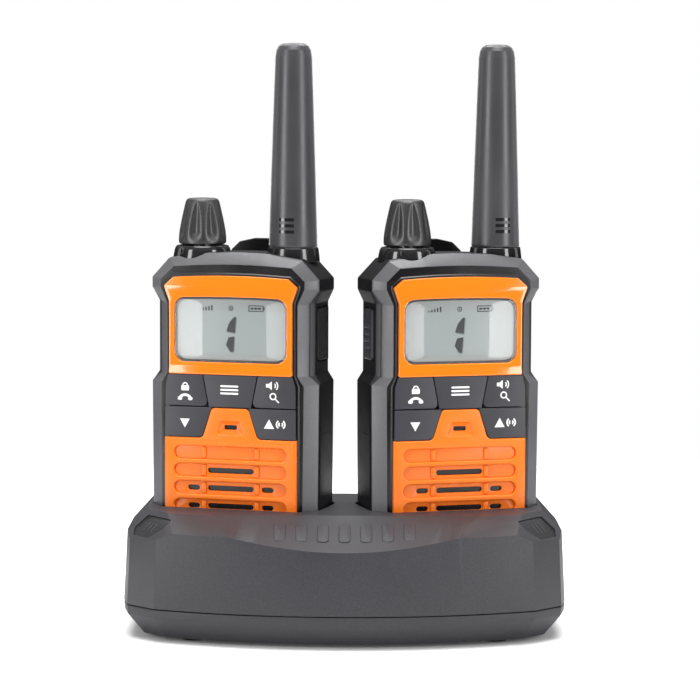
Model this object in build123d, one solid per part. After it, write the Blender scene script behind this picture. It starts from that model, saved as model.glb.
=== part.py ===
from build123d import *
import os
from math import radians, sin, cos, sqrt

# ---------------------------------------------------------------- driving sizes (mm, degrees)
BODY_W = 58.6          # handset width across the shoulders
BODY_H = 110.0         # handset height without knob and antenna
BODY_D = 33.0          # handset depth without the belt clip
SIDE_Y = 23.6          # depth where the side wall ends and the rear taper begins
PART_Y = 6.2           # parting plane between front and rear shell
RIM_Y = 2.6             # depth of the rim's inner edge behind the faceplates
WAIST_LO, WAIST_HI = 69.8, 93.3
WALL = 2.0
YAW = 16.2             # each handset is turned outward by this angle
POCKET_X = 38.3        # handset axis from the cradle's centre plane
SEAT_Z = 16.0          # height of the handset's bottom above the floor
TOP_Z = 41.0           # flat top of the cradle
SEAM_Z = 11.4          # joint between cradle cover and tray
FOOT_H = 1.2
ANT_TOP = 179.0
ANT_X, ANT_Y = 17.0, 16.0
KNOB_X, KNOB_Y = -14.4, 14.6
KEY_TRAVEL = 0.8
GAP = 0.25             # gap round keys and buttons
CLIP_GAP = 5.6         # space for a belt behind the handset
DOOR_HW, DOOR_Z0, DOOR_Z1 = 20.0, 9.0, 61.0
SHIFT_Y = -3.34        # puts the middle of the whole set at the origin
REAR_Y = 42.0

os.makedirs("parts", exist_ok=True)


def save(shape, name):
    sols = shape.solids()
    out = sols[0] if len(sols) == 1 else Compound(children=list(sols))
    out.label = name
    export_step(out, "parts/" + name + ".step")


def skin(rings):
    """Closed solid through equal rings of points; ring quads stay flat or are split in two."""
    faces = [Face(Wire.make_polygon([Vector(*p) for p in r], close=True)) for r in (rings[0], rings[-1])]
    for a, b in zip(rings, rings[1:]):
        n = len(a)
        for i in range(n):
            j = (i + 1) % n
            q = [Vector(*a[i]), Vector(*a[j]), Vector(*b[j]), Vector(*b[i])]
            nrm = (q[1] - q[0]).cross(q[3] - q[0])
            if abs((q[2] - q[0]).dot(nrm.normalized())) < 1e-5:
                faces.append(Face(Wire.make_polygon(q, close=True)))
            else:
                faces.append(Face(Wire.make_polygon([q[0], q[1], q[2]], close=True)))
                faces.append(Face(Wire.make_polygon([q[0], q[2], q[3]], close=True)))
    s = Solid(Shell(faces))
    if s.volume < 0:
        s = Solid(s.wrapped.Reversed())
    return Part() + s


def mirror_x(half):
    """Ring of (x, z) points for the right half, from the bottom up, completed on the left."""
    return list(half) + [(-x, z) for x, z in reversed(half)]


def ring(half, y):
    return [(x, y, z) for x, z in mirror_x(half)]


def slab(pts, y0, y1):
    """Flat plate with an outline given in x and z, from depth y0 to y1."""
    return skin([[(x, y0, z) for x, z in pts], [(x, y1, z) for x, z in pts]])


def box(x0, x1, y0, y1, z0, z1):
    return Part() + Pos((x0 + x1) / 2, (y0 + y1) / 2, (z0 + z1) / 2) * Box(x1 - x0, y1 - y0, z1 - z0)


def cyl_y(x, z, r, y0, y1):
    return Part() + Pos(x, (y0 + y1) / 2, z) * Rot(90, 0, 0) * Cylinder(r, y1 - y0)


def cyl_x(y, z, r, x0, x1):
    return Part() + Pos((x0 + x1) / 2, y, z) * Rot(0, 90, 0) * Cylinder(r, x1 - x0)


def cyl_z(x, y, r, z0, z1):
    return Part() + Pos(x, y, (z0 + z1) / 2) * Cylinder(r, z1 - z0)


def cone_z(x, y, r0, r1, z0, z1):
    return Part() + Pos(x, y, (z0 + z1) / 2) * Cone(r0, r1, z1 - z0)


# ---------------------------------------------------------------- handset, local frame:
# x to the right, y into the depth from the front rim, z up from the bottom
OUTER = [(27.0, 0.0), (28.8, 2.2), (29.3, 66.8), (27.3, WAIST_LO), (27.3, WAIST_HI), (29.3, 97.4),
         (29.3, 101.3), (23.0, 107.9), (12.0, 109.5)]
OUTER_P = [(26.9, 0.0), (28.7, 2.2), (29.2, 66.6), (25.9, 69.4), (25.9, WAIST_HI), (29.2, 97.8),
           (29.2, 101.3), (23.1, 107.8), (12.0, 109.5)]
OUTER_A = [(26.0, 0.6), (27.8, 2.6), (28.4, 66.4), (25.3, 69.2), (25.3, WAIST_HI), (28.5, 98.2),
           (28.6, 101.1), (23.2, 107.3), (12.0, 109.3)]
RIM = [(23.4, 3.0), (24.4, 5.0), (24.9, 66.2), (22.7, 69.4), (22.7, 92.9), (25.1, 98.2),
       (25.1, 100.8), (20.5, 105.2), (12.0, 105.7)]
REAR = [(21.5, 3.2), (23.6, 5.4), (24.0, 67.0), (23.4, WAIST_LO), (23.4, WAIST_HI), (24.0, 97.0),
        (24.0, 98.6), (19.2, 103.2), (10.0, 104.0)]
PED_F = [(22.7, 17.5), (23.1, 19.8), (23.1, 66.0), (21.7, 69.6), (21.6, 93.4), (23.3, 98.4),
         (23.2, 99.4), (20.1, 102.0), (10.0, 102.6)]
PED_B = [(23.0, 17.2), (23.5, 19.6), (23.5, 66.1), (22.0, 69.7), (21.9, 93.3), (23.7, 98.3),
         (23.6, 99.6), (20.3, 102.4), (10.0, 103.0)]


def inset(half, d):
    out = []
    for x, z in half:
        nz = z + d if z < 20 else (z - d if z > 98 else z)
        out.append((x - d, nz))
    return out


SIDE = [(x - 0.35, z - (0.2 if z > 100 else 0)) for x, z in OUTER]

front_outer = skin([ring(RIM, RIM_Y), ring(OUTER_A, 5.4), ring(OUTER_P, PART_Y)])
pedestal = skin([ring(PED_F, 2.2), ring(PED_B, RIM_Y + 0.3)])
cave_front = skin([ring(inset(RIM, 2.2), 4.0), ring(inset(OUTER_P, 2.2), PART_Y), ring(inset(OUTER_P, 2.2), PART_Y + 1)])
front_shell = (front_outer + pedestal) - cave_front

# display opening, key openings and sound openings through the front plate
WIN_HW, WIN_Z0, WIN_Z1 = 19.6, 73.6, 95.2
win_sk = Pos(0, 0, 0) * (Plane.XZ * Pos(0, (WIN_Z0 + WIN_Z1) / 2) * RectangleRounded(2 * WIN_HW, WIN_Z1 - WIN_Z0, 3.7))
window_cut = Part() + extrude(win_sk, amount=-6)
front_shell -= window_cut & box(-30, 30, 1.0, 5.0, 60, 100)

# keys: outlines in x and z
LOW_TOP = 69.25
call_pts = [(-22.55, 58.95), (-7.75, 58.95), (-9.55, 68.4), (-9.75, LOW_TOP), (-21.6, LOW_TOP), (-22.5, 66.0)]
menu_pts = [(-7.45, 58.75), (7.45, 58.75), (9.25, 68.4), (9.45, LOW_TOP), (-9.45, LOW_TOP), (-9.25, 68.4)]
scan_pts = [(-x, z) for x, z in reversed(call_pts)]
down_pts = [(-22.7, 48.65), (-9.75, 48.65), (-6.65, 58.0), (-6.65, 58.6), (-22.6, 58.6)]
up_pts = [(-x, z) for x, z in reversed(down_pts)]
KEYS = {"call_key": call_pts, "menu_key": menu_pts, "scan_key": scan_pts, "down_key": down_pts, "up_key": up_pts}
STEMS = {"call_key": (-15.9, 64.6), "menu_key": (0.0, 64.6), "scan_key": (15.9, 64.6),
         "down_key": (-14.8, 54.2), "up_key": (14.8, 54.2)}
keys = {}
for k, pts in KEYS.items():
    sx, sz = STEMS[k]
    cap = slab(pts, 0.45, 1.3)
    keys[k] = cap + box(sx - 3.2, sx + 3.2, 1.3, 3.4, sz - 2.2, sz + 2.2)
    front_shell -= box(sx - 3.5, sx + 3.5, 1.0, 5.0, sz - 2.5, sz + 2.5)

# orange upper faceplate round the display
LENS = [(21.5, 69.5), (21.3, 72.0), (21.3, 93.5), (23.0, 98.4), (22.9, 99.2), (19.9, 101.7), (10.0, 102.3)]
bezel = skin([ring(LENS, 0.3), ring(LENS, 2.2)])
bezel -= window_cut & box(-30, 30, -1, 3, 60, 100)

WG = 0.15
wsk = Plane.XZ * Pos(0, (WIN_Z0 + WIN_Z1) / 2) * RectangleRounded(2 * (WIN_HW - WG), WIN_Z1 - WIN_Z0 - 2 * WG, 3.55)
wsol = Part() + extrude(wsk, amount=-6)
window = wsol & box(-30, 30, 0.5, 1.7, 60, 100)
lcd = wsol & box(-30, 30, 1.7, 3.5, 60, 100)

# orange lower faceplate with sound slots
TAB_T, TAB_B = 6.3, 9.5
GR = [(22.4, 17.9), (22.9, 20.0), (22.9, 48.4), (TAB_B, 48.4), (TAB_T, 58.45)]
grille = slab(mirror_x(GR), 0.3, 2.2)
rows = (43.4, 37.5, 31.6, 25.6)
for i, zr in enumerate(rows):
    for xa, xb in ((-19.6, -10.0), (-8.4, 8.4), (10.0, 19.6)):
        dish = extrude(Plane.XZ * Pos((xa + xb) / 2, zr) * SlotOverall(xb - xa, 4.4), amount=-0.8)
        grille -= Part() + Pos(0, 0.29, 0) * dish
    holes = []
    if i >= 1:
        holes.append((-8.0, 8.0))
    if i >= 2:
        holes += [(-14.9, -10.7), (10.7, 14.9)]
    for xa, xb in holes:
        hole = Part() + extrude(Plane.XZ * Pos((xa + xb) / 2, zr) * SlotOverall(xb - xa, 1.8), amount=-6)
        grille -= hole
        front_shell -= (Pos(0, 1.0, 0) * hole)
mic = slab([(-4.9, 49.7), (4.9, 49.7), (3.2, 54.1), (-3.2, 54.1)], 0.2, 1.2)
grille -= mic
mic_hole = box(-2.2, 2.2, 0.2, 5.0, 51.3, 52.8)
grille -= mic_hole
front_shell -= mic_hole

# rear shell: side walls, top, bottom and tapered back, open to the front
rear_outer = skin([ring(OUTER_P, PART_Y), ring(OUTER, 8.0), ring(SIDE, SIDE_Y), ring(REAR, BODY_D)])
rear_inner = skin([ring(inset(OUTER_P, WALL + 0.2), PART_Y - 1), ring(inset(OUTER, WALL + 0.2), 8.0), ring(inset(SIDE, WALL), SIDE_Y - 0.5),
                   ring(inset(REAR, WALL), BODY_D - WALL)])
rear_shell = rear_outer - rear_inner
# wall that separates the battery bay from the electronics
bay = box(-25, 25, 13.4, 14.8, 2.0, 62.2) + box(-25, 25, 13.4, BODY_D - 1.5, 61.2, 62.2)
rear_shell += bay & skin([ring(inset(OUTER, 1.0), 8.0), ring(inset(SIDE, 1.0), SIDE_Y), ring(inset(REAR, 1.0), BODY_D - 1.0)])
# opening for the battery door with a ledge round it
rear_shell -= box(-DOOR_HW - 0.2, DOOR_HW + 0.2, BODY_D - 1.6, BODY_D + 1, DOOR_Z0 - 0.2, DOOR_Z1 + 0.2)
rear_shell -= box(-DOOR_HW + 1.2, DOOR_HW - 1.2, BODY_D - 4, BODY_D + 1, DOOR_Z0 + 1.2, DOOR_Z1 - 1.2)

door = box(-DOOR_HW, DOOR_HW, BODY_D - 1.3, BODY_D, DOOR_Z0, DOOR_Z1)
door += box(-6, 6, BODY_D - 2.3, BODY_D - 1.2, DOOR_Z1 - 4.2, DOOR_Z1 - 1.6)
for k in range(5):
    door -= box(-8, 8, BODY_D - 0.5, BODY_D + 1, DOOR_Z0 + 4 + 2.2 * k, DOOR_Z0 + 5 + 2.2 * k)

# battery pack: three cells side by side in one block
CELL_R, CELL_L = 6.9, 49.6
pack = box(-20.4, 20.4, 18.0, 28.2, 9.6, 9.6 + CELL_L)
for cx in (-13.6, 0.0, 13.6):
    pack += cyl_z(cx, 23.1, CELL_R, 9.6, 9.6 + CELL_L)
pack = pack & box(-21, 21, 16.0, 30.2, 9, 61)

# electronics
board = box(-22, 22, 6.0, 7.6, 46.5, 103.0)
speaker = cyl_y(0, 31.5, 14.6, 4.1, 6.6) + cyl_y(0, 31.5, 9.0, 6.6, 11.8)

# case screws with their bosses
SCREWS = [(-21.0, 90.0), (21.0, 90.0), (-21.6, 66.4), (21.6, 66.4)]
screws = Part()
for sx, sz in SCREWS:
    rear_shell += cyl_y(sx, sz, 1.9, 8.2, BODY_D - 0.8)
    rear_shell -= cyl_y(sx, sz, 1.1, 4, 40)
    rear_shell -= cyl_y(sx, sz, 2.0 - 0.3, BODY_D - 2.2, 40)
    board -= cyl_y(sx, sz, 1.4, 5, 9)
    front_shell += cyl_y(sx, sz, 1.9, 3.6, 6.0)
    front_shell -= cyl_y(sx, sz, 1.0, 3.2, 8.0)
    scr = cyl_y(sx, sz, 1.0, 3.4, BODY_D - 2.2) + cyl_y(sx, sz, 1.6, BODY_D - 2.2, BODY_D - 1.0)
    scr -= box(sx - 1.1, sx + 1.1, BODY_D - 1.5, BODY_D, sz - 0.2, sz + 0.2)
    scr -= box(sx - 0.2, sx + 0.2, BODY_D - 1.5, BODY_D, sz - 1.1, sz + 1.1)
    screws += scr

# top: knob, its control and the antenna
pot = box(KNOB_X - 5.5, KNOB_X + 5.5, KNOB_Y - 5.5, KNOB_Y + 5.5, 99.0, 105.4)
pot += cyl_z(KNOB_X, KNOB_Y, 3.0, 105.3, 120.5)
COLLAR_Z = 111.8
rear_shell += cone_z(KNOB_X, KNOB_Y, 9.9, 9.2, 106.0, COLLAR_Z - 1.2) + cone_z(KNOB_X, KNOB_Y, 9.2, 8.6, COLLAR_Z - 1.2, COLLAR_Z)
rear_shell -= box(-30, 30, 0, 40, 100, 106.2) & rear_inner
front_shell -= cyl_z(KNOB_X, KNOB_Y, 10.1, 105.9, 118.0)
rear_shell -= cyl_z(KNOB_X, KNOB_Y, 3.3, 104.0, 118.0)
KNOB_B, KNOB_T = COLLAR_Z + 0.3, 127.5
prof = [(0, KNOB_B), (7.9, KNOB_B), (7.75, KNOB_B + 3.0), (7.0, KNOB_B + 8.0), (5.9, KNOB_T - 1.6), (4.8, KNOB_T - 0.3), (0, KNOB_T)]
knob = Part() + Pos(KNOB_X, KNOB_Y, 0) * revolve(Plane.XZ * make_face(Polyline(*prof, close=True)), Axis.Z)
for k in range(8):
    a = 22.5 + 45 * k
    knob -= Pos(KNOB_X, KNOB_Y, KNOB_B + 3.2) * Rot(0, 0, a) * Pos(9.6, 0, 0) * Rot(0, -9, 0) * Pos(0, 0, 10) * Cylinder(2.7, 20)
knob -= cyl_z(KNOB_X, KNOB_Y, 3.06, KNOB_B - 1, 121.1)

ring_seat = cone_z(ANT_X, ANT_Y, 8.9, 8.4, 106.0, 111.5)
rear_shell += ring_seat - rear_inner
aprof = [(0, 111.5), (8.1, 111.5), (8.05, 114.0), (7.3, 135.0), (6.4, 160.0), (5.75, 176.2), (5.2, 178.0), (3.6, 178.9), (0, ANT_TOP)]
antenna = Part() + Pos(ANT_X, ANT_Y, 0) * revolve(Plane.XZ * make_face(Polyline(*aprof, close=True)), Axis.Z)

# talk button, left side
PTT_X0, PTT_X1 = -28.3, -24.6
rear_shell -= box(-31, -23.6, 10.0, 20.4, 74.0, 91.6)
ptt = skin([[(PTT_X0, 11.2, 75.4), (PTT_X0, 19.2, 75.4), (PTT_X0, 19.2, 90.2), (PTT_X0, 11.2, 90.2)],
            [(-27.1, 10.0 + GAP, 74.0 + GAP), (-27.1, 20.4 - GAP, 74.0 + GAP), (-27.1, 20.4 - GAP, 91.6 - GAP), (-27.1, 10.0 + GAP, 91.6 - GAP)],
            [(PTT_X1, 10.0 + GAP, 74.0 + GAP), (PTT_X1, 20.4 - GAP, 74.0 + GAP), (PTT_X1, 20.4 - GAP, 91.6 - GAP), (PTT_X1, 10.0 + GAP, 91.6 - GAP)]])

ptt += box(-24.75, -24.25, 9.0, 21.4, 73.0, 92.6)

# jack cover, right side: a flap that turns about an upright pin at its rear edge
JC_Y, JC_X = 21.6, 26.6
rear_shell += box(23.4, 25.8, 9.2, 24.4, 72.4, 93.0)
rear_shell -= box(25.2, 31, 10.4, 23.2, 73.6, 92.0)
for zz, rr in ((77.6, 1.8), (84.2, 1.3)):
    rear_shell += cyl_x(15.4, zz, 3.0, 21.6, 25.2)
    rear_shell -= cyl_x(15.4, zz, rr, 19.2, 26.2)
flap = box(25.8, 27.4, 10.9, JC_Y - 0.1, 74.0, 91.6) + cyl_z(JC_X, JC_Y, 1.0, 74.0, 91.6)
flap -= cyl_z(JC_X, JC_Y, 0.5, 70, 95)
rear_shell += cyl_z(JC_X, JC_Y, 0.45, 72.8, 92.8)

# belt clip on an upright-swinging lever, on a cross pin between two ears
CP_Y, CP_Z = BODY_D + 4.6, 99.0
CLIP_Y0, CLIP_Y1 = BODY_D + CLIP_GAP, BODY_D + CLIP_GAP + 2.2
ears = Part()
for sgn in (-1, 1):
    x0, x1 = sorted((sgn * 6.4, sgn * 9.2))
    ears += box(x0, x1, BODY_D - 1.0, CP_Y, CP_Z - 3.2, CP_Z + 3.2) + cyl_x(CP_Y, CP_Z, 3.2, x0, x1)
rear_shell += ears
rear_shell -= cyl_x(CP_Y, CP_Z, 1.1, -12, 12)
clip_pin = cyl_x(CP_Y, CP_Z, 1.1, -9.2, 9.2)
clip = cyl_x(CP_Y, CP_Z, 3.0, -6.1, 6.1)
clip += slab([(-9.0, 66.0), (-7.5, 64.0), (7.5, 64.0), (9.0, 66.0), (9.0, 94.0), (6.1, 95.5), (6.1, 103.0), (12.6, 105.0),
              (12.6, 109.4), (9.0, 112.4), (3.0, 113.2), (-3.0, 113.2), (-9.0, 112.4), (-12.6, 109.4), (-12.6, 105.0), (-6.1, 103.0), (-6.1, 95.5), (-9.0, 94.0)],
             CLIP_Y0, CLIP_Y1)
clip -= cyl_x(CP_Y, CP_Z, 1.16, -12, 12)
for k in range(4):
    clip -= box(-7.5, 7.5, CLIP_Y1 - 0.4, CLIP_Y1 + 1, 105.2 + 1.8 * k, 106.1 + 1.8 * k)

# charging contacts in the bottom
contacts = Part()
for cx in (-6.0, 6.0):
    rear_shell -= cyl_z(cx, 14.0, 2.3, -1, 1.2)
    rear_shell += cyl_z(cx, 14.0, 3.2, 1.2, 2.6)
    contacts += cyl_z(cx, 14.0, 2.2, 0.1, 1.2)

HANDSET = {"front_shell": front_shell, "rear_shell": rear_shell, "display_bezel": bezel, "display_window": window,
           "lcd_module": lcd, "speaker_grille": grille, "ptt_button": ptt, "volume_knob": knob, "volume_control": pot,
           "antenna": antenna, "jack_cover": flap, "belt_clip": clip, "clip_pin": clip_pin, "battery_door": door,
           "battery_pack": pack, "circuit_board": board, "loudspeaker": speaker, "charge_contacts": contacts,
           "case_screws": screws}
HANDSET.update(keys)

# ---------------------------------------------------------------- cradle, upright frame with the floor at z = 0
FR = 155.0


def arc_y(x):
    return -35.4 + FR - sqrt(FR * FR - x * x)


def outline(d, z):
    """Cradle outline moved inward by d, as one wire at height z."""
    e = []
    fx, fy = 61.8, arc_y(61.8)
    sk = make_face([ThreePointArc((-fx, fy), (0, -35.4), (fx, fy)), Line((fx, fy), (71.2, -13.0)), Line((71.2, -13.0), (72.9, -4.0)),
                    Line((72.9, -4.0), (72.9, 24.0)), Line((72.9, 24.0), (66.0, 36.0)), Line((66.0, 36.0), (58.0, REAR_Y)),
                    Line((58.0, REAR_Y), (-58.0, REAR_Y)), Line((-58.0, REAR_Y), (-66.0, 36.0)), Line((-66.0, 36.0), (-72.9, 24.0)),
                    Line((-72.9, 24.0), (-72.9, -4.0)), Line((-72.9, -4.0), (-71.2, -13.0)), Line((-71.2, -13.0), (-fx, fy))])
    if d:
        sk = offset(sk, amount=-d, kind=Kind.INTERSECTION)
    return Wire(Pos(0, 0, z) * sk.faces()[0].outer_wire())


def prism(d0, z0, d1, z1):
    return Part() + Solid.make_loft([outline(d0, z0), outline(d1, z1)], True)


def above(origin, normal, size=260.0):
    """Everything on the far side of a plane."""
    return Part() + Plane(origin=origin, z_dir=normal) * Pos(0, 0, size / 2) * Box(size, size, size)


def facets(solid, drop):
    """Cut the sloped facets of the cradle's top; drop lowers them for the inner skin."""
    zt = TOP_Z - drop
    y0, y1 = -14.0 + 0.35 * drop, -44.0

    def wire(y, rise0, rise1):
        z0 = zt - rise0
        return Wire([ThreePointArc((-60, y, z0 + rise1), (0, y, z0), (60, y, z0 + rise1)).edge(), Line((60, y, z0 + rise1), (60, y, 80)).edge(),
                     Line((60, y, 80), (-60, y, 80)).edge(), Line((-60, y, 80), (-60, y, z0 + rise1)).edge()])
    solid -= Part() + Solid.make_loft([wire(y0, 0.0, 0.02), wire(y1, 13.5, 10.6)], True)
    for s in (-1, 1):
        solid -= above((s * 42.0, -15.0, zt), (s * 0.106, -0.343, 0.933))
        solid -= above((s * 57.2, -11.0, zt), (s * 0.480, -0.353, 0.802))
        solid -= above((s * 65.5, 0.0, zt), (s * 0.7071, 0.0, 0.7071))
    solid -= above((0, REAR_Y - 3.4, zt), (0, 0.7071, 0.7071))
    return solid


PLACE = {s: Pos(sgn * POCKET_X, 0, SEAT_Z) * Rot(0, 0, sgn * YAW) for s, sgn in (("left", -1), ("right", 1))}
cover = facets(prism(0.0, SEAM_Z, 1.5, TOP_Z), 0.0)
inner = facets(prism(2.0, SEAM_Z - 1, 3.5, TOP_Z - 2.0), 2.2)

POCKET = [(-24.0, -0.6), (24.0, -0.6), (26.0, 2.6), (29.5, 6.0), (29.5, 24.0), (24.3, 33.7), (-24.3, 33.7), (-29.5, 24.0), (-29.5, 6.0), (-26.0, 2.6)]
TUB = [(-24.8, -2.2), (24.8, -2.2), (27.5, 1.9), (31.1, 5.4), (31.1, 24.4), (25.2, 35.3), (-25.2, 35.3), (-31.1, 24.4), (-31.1, 5.4), (-27.5, 1.9)]
NOTCH_Z = DOOR_Z0 - 1.2


def column(pts, z0, z1):
    return skin([[(x, y, z0) for x, y in pts], [(x, y, z1) for x, y in pts]])


body = prism(0.0, SEAM_Z, 1.5, TOP_Z)
cover = cover - inner
keep = facets(prism(0.4, SEAM_Z, 1.9, TOP_Z), 0.4)
for side in ("left", "right"):
    tub = column(TUB, -2.3, 40) + box(-DOOR_HW - 2.4, DOOR_HW + 2.4, 30, 60, NOTCH_Z - 1.6, 40)
    cover += (PLACE[side] * tub) & keep
for side in ("left", "right"):
    cover -= PLACE[side] * (column(POCKET, -0.3, 40) + box(-DOOR_HW - 0.8, DOOR_HW + 0.8, 30, 70, NOTCH_Z, 40))

# contact pins, charger board and their holes
pins = Part()
for side in ("left", "right"):
    for cx in (-6.0, 6.0):
        cover -= PLACE[side] * cyl_z(cx, 14.0, 1.25, -4, 1)
        pins += PLACE[side] * (cyl_z(cx, 14.0, 1.0, -9.4, 0.0) + cyl_z(cx, 14.0, 1.9, -9.4, -4.0))
charger_board = box(-54, 54, 2, 27, 5.0, 6.6)

# tray with a chamfered underside
tray = prism(0.25, 8.2, 0.0, SEAM_Z - 0.3) + prism(6.0, FOOT_H, 0.25, 8.2)
tray_in = prism(2.3, 8.2, 2.3, SEAM_Z + 1) + prism(7.6, FOOT_H + 2.0, 2.3, 8.2)
tray -= tray_in
for bx in (-50, 50):
    for by in (6, 20):
        tray += cyl_z(bx, by, 2.6, FOOT_H + 1.0, 5.0)
FEET = [(-49, -12), (49, -12), (-50, 28), (50, 28)]
feet = Part()
for fx, fy in FEET:
    tray -= cyl_z(fx, fy, 5.0, 0.0, FOOT_H + 0.8)
    feet += cone_z(fx, fy, 4.6, 4.95, 0.0, FOOT_H + 0.8)
TS = [(-60, -9), (60, -9), (-30, -23), (30, -23)]
cradle_screws = Part()
for sx, sy in TS:
    tray += cyl_z(sx, sy, 3.4, FOOT_H + 0.5, SEAM_Z - 0.3)
    tray -= cyl_z(sx, sy, 1.3, 0, 20) + cyl_z(sx, sy, 2.3, 0, 4.0)
    cover += cyl_z(sx, sy, 3.0, SEAM_Z, 40) & keep
    cover -= cyl_z(sx, sy, 1.2, SEAM_Z - 1, 18)
    scr = cyl_z(sx, sy, 1.2, 4.0, 16.0) + cyl_z(sx, sy, 2.2, 2.2, 4.0)
    scr -= box(sx - 1.4, sx + 1.4, sy - 0.25, sy + 0.25, 2, 3.0) + box(sx - 0.25, sx + 0.25, sy - 1.4, sy + 1.4, 2, 3.0)
    cradle_screws += scr

# power inlet in the rear wall
IN_Z, IN_R, IN_FACE = 16.6, 2.85, REAR_Y - 0.5
inlet = box(-4.6, 4.6, 31.0, 39.0, IN_Z - 5.0, IN_Z + 5.0) + cyl_y(0, IN_Z, 4.3, 38.0, IN_FACE)
inlet -= cyl_y(0, IN_Z, IN_R, 32.4, 50)
cover -= cyl_y(0, IN_Z, 4.35, 30, 50)
cover -= box(-4.7, 4.7, 30.0, 39.1, IN_Z - 5.1, IN_Z + 5.1)

# dark indicator inserts in the front corner facets
status = Part()
for s in (-1, 1):
    n = Vector(s * 0.480, -0.353, 0.802).normalized()
    pl = Plane(origin=(s * 64.1, -11.4, 36.5), x_dir=(s * 0.59, 0.807, 0.0), z_dir=tuple(n))
    o = Vector(s * 57.2, -11.0, TOP_Z)
    off = (o - Vector(s * 64.1, -11.4, 36.5)).dot(n)
    pl = Plane(origin=tuple(Vector(s * 64.1, -11.4, 36.5) + n * off), x_dir=(s * 0.59, 0.807, 0.0), z_dir=tuple(n))
    pts = [(-8.2, 0.6), (-5.4, -4.4), (3.6, -4.6), (7.0, -1.4), (6.6, 5.0), (-7.6, 5.0)]
    if s < 0:
        pts = [(p[0], p[1]) for p in pts]
    sign = 1
    up = pl.y_dir
    if up.Z < 0:
        sign = -1
    face = make_face(Polyline(*[(p[0], sign * p[1]) for p in pts], close=True))
    cover -= Part() + extrude(pl * Pos(0, 0, 0.5) * face, amount=-1.4)
    small = offset(face, amount=-0.12, kind=Kind.INTERSECTION)
    status += Part() + extrude(pl * Pos(0, 0, -0.35) * small, amount=-0.5)

CRADLE = {"cradle_cover": cover, "cradle_tray": tray, "cradle_feet": feet, "cradle_screws": cradle_screws,
          "charger_board": charger_board, "contact_pins": pins, "power_inlet": inlet, "status_windows": status}

SET = Pos(0, SHIFT_Y, 0)
for name, shape in CRADLE.items():
    save(SET * shape, name)
for side in ("left", "right"):
    for name, shape in HANDSET.items():
        save(SET * PLACE[side] * shape, side + "_" + name)
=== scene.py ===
import bpy, bmesh
from math import radians, sin, cos, pi, sqrt, atan2
from mathutils import Matrix, Vector


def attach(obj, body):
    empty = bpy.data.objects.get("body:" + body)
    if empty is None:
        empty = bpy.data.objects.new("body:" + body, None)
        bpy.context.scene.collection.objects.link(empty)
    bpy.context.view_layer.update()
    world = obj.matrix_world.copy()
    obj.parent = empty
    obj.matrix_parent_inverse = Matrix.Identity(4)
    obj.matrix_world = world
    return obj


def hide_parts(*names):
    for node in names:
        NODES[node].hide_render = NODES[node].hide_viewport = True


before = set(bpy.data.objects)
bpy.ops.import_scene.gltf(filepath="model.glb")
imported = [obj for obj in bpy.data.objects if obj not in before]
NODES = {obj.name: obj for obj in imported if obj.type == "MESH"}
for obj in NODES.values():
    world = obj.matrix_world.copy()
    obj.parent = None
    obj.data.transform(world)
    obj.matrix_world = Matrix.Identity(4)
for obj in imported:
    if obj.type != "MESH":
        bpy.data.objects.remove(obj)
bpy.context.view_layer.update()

# ------------------------------------------------------------------ shared sizes (mm, handset frame)
YAW, PX, SEAT, SY = 16.2, 38.3, 16.0, -3.34
WLO, WHI = 69.8, 93.3


def M(side):
    s = -1 if side == "left" else 1
    return (Matrix.Scale(0.001, 4) @ Matrix.Translation((s * PX, SY, SEAT)) @ Matrix.Rotation(radians(s * YAW), 4, "Z"))


M0 = Matrix.Scale(0.001, 4) @ Matrix.Translation((0, SY, 0))

# ------------------------------------------------------------------ materials


def new_mat(name):
    m = bpy.data.materials.new(name)
    m.use_nodes = True
    nt = m.node_tree
    return m, nt, nt.nodes["Principled BSDF"]


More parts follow.
